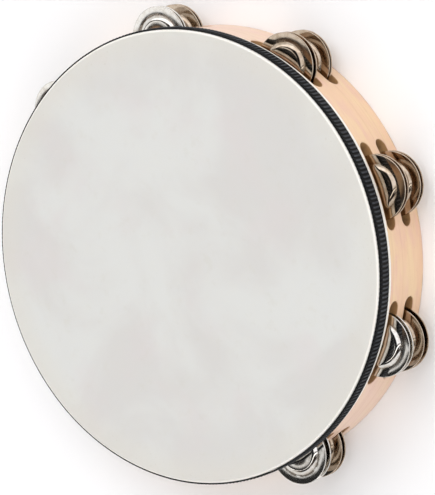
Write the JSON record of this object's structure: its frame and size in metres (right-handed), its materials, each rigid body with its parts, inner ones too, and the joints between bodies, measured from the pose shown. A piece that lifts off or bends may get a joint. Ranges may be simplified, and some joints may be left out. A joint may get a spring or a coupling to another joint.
{
  "type": "tambourine",
  "caption": "Round wooden frame drum with a stretched head, braid trim and two rows of paired metal jingles sliding on pins in slots round its hoop.",
  "frame": {"origin": "centre of the open rim's plane, on the hoop's axis", "axes": "+Z along the hoop's axis from the open rim up to the head; +X towards the side on which the jingles hang; the middle of the plain grip is at -55 degrees from +X"},
  "size_m": [0.2791, 0.2791, 0.05],
  "materials": {
    "maple": "satin clear-coated light maple",
    "skin": "matt off-white drum skin",
    "braid": "ribbed black gimp braid",
    "nickel": "polished nickel plate",
    "steel": "plain steel wire nail"
  },
  "bodies": {
    "drum": {"hoop": "maple", "drum_head": "skin", "head_braid": "braid", "jingle_pin_1": "steel", "jingle_pin_2": "steel", "jingle_pin_3": "steel", "jingle_pin_4": "steel", "jingle_pin_5": "steel", "jingle_pin_6": "steel", "jingle_pin_7": "steel", "jingle_pin_8": "steel"},
    "jingle_1_rim_lower": {"jingle_1_rim_lower": "nickel"},
    "jingle_1_rim_upper": {"jingle_1_rim_upper": "nickel"},
    "jingle_1_head_lower": {"jingle_1_head_lower": "nickel"},
    "jingle_1_head_upper": {"jingle_1_head_upper": "nickel"},
    "jingle_2_rim_lower": {"jingle_2_rim_lower": "nickel"},
    "jingle_2_rim_upper": {"jingle_2_rim_upper": "nickel"},
    "jingle_2_head_lower": {"jingle_2_head_lower": "nickel"},
    "jingle_2_head_upper": {"jingle_2_head_upper": "nickel"},
    "jingle_3_rim_lower": {"jingle_3_rim_lower": "nickel"},
    "jingle_3_rim_upper": {"jingle_3_rim_upper": "nickel"},
    "jingle_3_head_lower": {"jingle_3_head_lower": "nickel"},
    "jingle_3_head_upper": {"jingle_3_head_upper": "nickel"},
    "jingle_4_rim_lower": {"jingle_4_rim_lower": "nickel"},
    "jingle_4_rim_upper": {"jingle_4_rim_upper": "nickel"},
    "jingle_4_head_lower": {"jingle_4_head_lower": "nickel"},
    "jingle_4_head_upper": {"jingle_4_head_upper": "nickel"},
    "jingle_5_rim_lower": {"jingle_5_rim_lower": "nickel"},
    "jingle_5_rim_upper": {"jingle_5_rim_upper": "nickel"},
    "jingle_5_head_lower": {"jingle_5_head_lower": "nickel"},
    "jingle_5_head_upper": {"jingle_5_head_upper": "nickel"},
    "jingle_6_rim_lower": {"jingle_6_rim_lower": "nickel"},
    "jingle_6_rim_upper": {"jingle_6_rim_upper": "nickel"},
    "jingle_6_head_lower": {"jingle_6_head_lower": "nickel"},
    "jingle_6_head_upper": {"jingle_6_head_upper": "nickel"},
    "jingle_7_rim_lower": {"jingle_7_rim_lower": "nickel"},
    "jingle_7_rim_upper": {"jingle_7_rim_upper": "nickel"},
    "jingle_7_head_lower": {"jingle_7_head_lower": "nickel"},
    "jingle_7_head_upper": {"jingle_7_head_upper": "nickel"},
    "jingle_8_rim_lower": {"jingle_8_rim_lower": "nickel"},
    "jingle_8_rim_upper": {"jingle_8_rim_upper": "nickel"},
    "jingle_8_head_lower": {"jingle_8_head_lower": "nickel"},
    "jingle_8_head_upper": {"jingle_8_head_upper": "nickel"}
  },
  "joints": [
    {"name": "jingle_1_rim_lower_slide", "type": "slide", "parent": "drum", "child": "jingle_1_rim_lower", "axis": [0, 0, 1], "range_m": [-0.00082, 0.00122]},
    {"name": "jingle_1_rim_upper_slide", "type": "slide", "parent": "drum", "child": "jingle_1_rim_upper", "axis": [0, 0, -1], "range_m": [-0.00082, 0.00122]},
    {"name": "jingle_1_head_lower_slide", "type": "slide", "parent": "drum", "child": "jingle_1_head_lower", "axis": [0, 0, 1], "range_m": [-0.00012, 0.00192]},
    {"name": "jingle_1_head_upper_slide", "type": "slide", "parent": "drum", "child": "jingle_1_head_upper", "axis": [0, 0, -1], "range_m": [-0.00012, 0.00192]},
    {"name": "jingle_2_rim_lower_slide", "type": "slide", "parent": "drum", "child": "jingle_2_rim_lower", "axis": [0, 0, 1], "range_m": [-0.00016, 0.00188]},
    {"name": "jingle_2_rim_upper_slide", "type": "slide", "parent": "drum", "child": "jingle_2_rim_upper", "axis": [0, 0, -1], "range_m": [-0.00016, 0.00188]},
    {"name": "jingle_2_head_lower_slide", "type": "slide", "parent": "drum", "child": "jingle_2_head_lower", "axis": [0, 0, 1], "range_m": [-0.00074, 0.0013]},
    {"name": "jingle_2_head_upper_slide", "type": "slide", "parent": "drum", "child": "jingle_2_head_upper", "axis": [0, 0, -1], "range_m": [-0.00074, 0.0013]},
    {"name": "jingle_3_rim_lower_slide", "type": "slide", "parent": "drum", "child": "jingle_3_rim_lower", "axis": [0, 0, 1], "range_m": [-0.00109, 0.00095]},
    {"name": "jingle_3_rim_upper_slide", "type": "slide", "parent": "drum", "child": "jingle_3_rim_upper", "axis": [0, 0, -1], "range_m": [-0.00109, 0.00095]},
    {"name": "jingle_3_head_lower_slide", "type": "slide", "parent": "drum", "child": "jingle_3_head_lower", "axis": [0, 0, 1], "range_m": [-0.00109, 0.00095]},
    {"name": "jingle_3_head_upper_slide", "type": "slide", "parent": "drum", "child": "jingle_3_head_upper", "axis": [0, 0, -1], "range_m": [-0.00109, 0.00095]},
    {"name": "jingle_4_rim_lower_slide", "type": "slide", "parent": "drum", "child": "jingle_4_rim_lower", "axis": [0, 0, 1], "range_m": [-0.00148, 0.00056]},
    {"name": "jingle_4_rim_upper_slide", "type": "slide", "parent": "drum", "child": "jingle_4_rim_upper", "axis": [0, 0, -1], "range_m": [-0.00148, 0.00056]},
    {"name": "jingle_4_head_lower_slide", "type": "slide", "parent": "drum", "child": "jingle_4_head_lower", "axis": [0, 0, 1], "range_m": [-0.00069, 0.00135]},
    {"name": "jingle_4_head_upper_slide", "type": "slide", "parent": "drum", "child": "jingle_4_head_upper", "axis": [0, 0, -1], "range_m": [-0.00069, 0.00135]},
    {"name": "jingle_5_rim_lower_slide", "type": "slide", "parent": "drum", "child": "jingle_5_rim_lower", "axis": [0, 0, 1], "range_m": [-0.00135, 0.00069]},
    {"name": "jingle_5_rim_upper_slide", "type": "slide", "parent": "drum", "child": "jingle_5_rim_upper", "axis": [0, 0, -1], "range_m": [-0.00135, 0.00069]},
    {"name": "jingle_5_head_lower_slide", "type": "slide", "parent": "drum", "child": "jingle_5_head_lower", "axis": [0, 0, 1], "range_m": [-0.00135, 0.00069]},
    {"name": "jingle_5_head_upper_slide", "type": "slide", "parent": "drum", "child": "jingle_5_head_upper", "axis": [0, 0, -1], "range_m": [-0.00135, 0.00069]},
    {"name": "jingle_6_rim_lower_slide", "type": "slide", "parent": "drum", "child": "jingle_6_rim_lower", "axis": [0, 0, 1], "range_m": [-0.00091, 0.00113]},
    {"name": "jingle_6_rim_upper_slide", "type": "slide", "parent": "drum", "child": "jingle_6_rim_upper", "axis": [0, 0, -1], "range_m": [-0.00091, 0.00113]},
    {"name": "jingle_6_head_lower_slide", "type": "slide", "parent": "drum", "child": "jingle_6_head_lower", "axis": [0, 0, 1], "range_m": [-0.00118, 0.00086]},
    {"name": "jingle_6_head_upper_slide", "type": "slide", "parent": "drum", "child": "jingle_6_head_upper", "axis": [0, 0, -1], "range_m": [-0.00118, 0.00086]},
    {"name": "jingle_7_rim_lower_slide", "type": "slide", "parent": "drum", "child": "jingle_7_rim_lower", "axis": [0, 0, 1], "range_m": [-0.00126, 0.00078]},
    {"name": "jingle_7_rim_upper_slide", "type": "slide", "parent": "drum", "child": "jingle_7_rim_upper", "axis": [0, 0, -1], "range_m": [-0.00126, 0.00078]},
    {"name": "jingle_7_head_lower_slide", "type": "slide", "parent": "drum", "child": "jingle_7_head_lower", "axis": [0, 0, 1], "range_m": [-0.00078, 0.00126]},
    {"name": "jingle_7_head_upper_slide", "type": "slide", "parent": "drum", "child": "jingle_7_head_upper", "axis": [0, 0, -1], "range_m": [-0.00078, 0.00126]},
    {"name": "jingle_8_rim_lower_slide", "type": "slide", "parent": "drum", "child": "jingle_8_rim_lower", "axis": [0, 0, 1], "range_m": [-0.0006, 0.00144]},
    {"name": "jingle_8_rim_upper_slide", "type": "slide", "parent": "drum", "child": "jingle_8_rim_upper", "axis": [0, 0, -1], "range_m": [-0.0006, 0.00144]},
    {"name": "jingle_8_head_lower_slide", "type": "slide", "parent": "drum", "child": "jingle_8_head_lower", "axis": [0, 0, 1], "range_m": [-0.0014, 0.00064]},
    {"name": "jingle_8_head_upper_slide", "type": "slide", "parent": "drum", "child": "jingle_8_head_upper", "axis": [0, 0, -1], "range_m": [-0.0014, 0.00064]}
  ]
}
